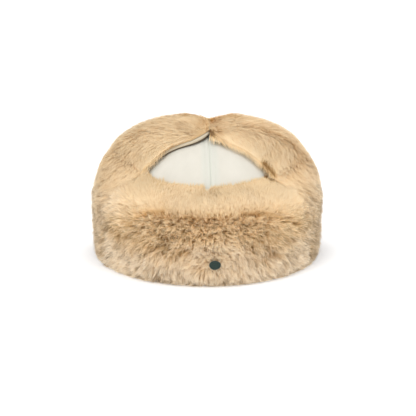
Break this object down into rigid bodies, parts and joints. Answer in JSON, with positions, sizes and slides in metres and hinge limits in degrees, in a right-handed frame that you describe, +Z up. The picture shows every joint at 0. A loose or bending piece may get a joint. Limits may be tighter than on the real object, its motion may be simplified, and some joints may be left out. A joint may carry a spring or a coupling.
{
  "type": "earflap baseball cap",
  "caption": "Cloth baseball cap with a curved peak and deep-fur neck and ear flaps folded up over the crown.",
  "frame": {"origin": "on the surface that the cap stands on, under the middle of the whole cap, peak included", "axes": "+Z up; +Y towards the peak, so the back of the cap faces -Y; +X to the wearer's right"},
  "size_m": [0.224, 0.3096, 0.1326],
  "materials": {
    "crown_twill": "matt cream cotton twill",
    "peak_twill": "matt cream cotton twill with rows of topstitching",
    "flap_fur": "deep soft faux fur, light tan with golden tips and brown roots",
    "flap_lining": "matt cream woven lining",
    "badge_thread": "dark green satin-stitch embroidery",
    "snap_plastic": "satin"
  },
  "bodies": {
    "root": {"crown_panel_back_right": "crown_twill", "crown_panel_side_right": "crown_twill", "crown_panel_front_right": "crown_twill", "crown_panel_front_left": "crown_twill", "crown_panel_side_left": "crown_twill", "crown_panel_back_left": "crown_twill", "peak": "peak_twill", "neck_flap": "flap_fur", "ear_flap_left": "flap_fur", "ear_flap_right": "flap_fur", "ear_lining_left": "flap_lining", "ear_lining_right": "flap_lining", "badge": "badge_thread", "flap_snap": "snap_plastic"}
  },
  "joints": []
}
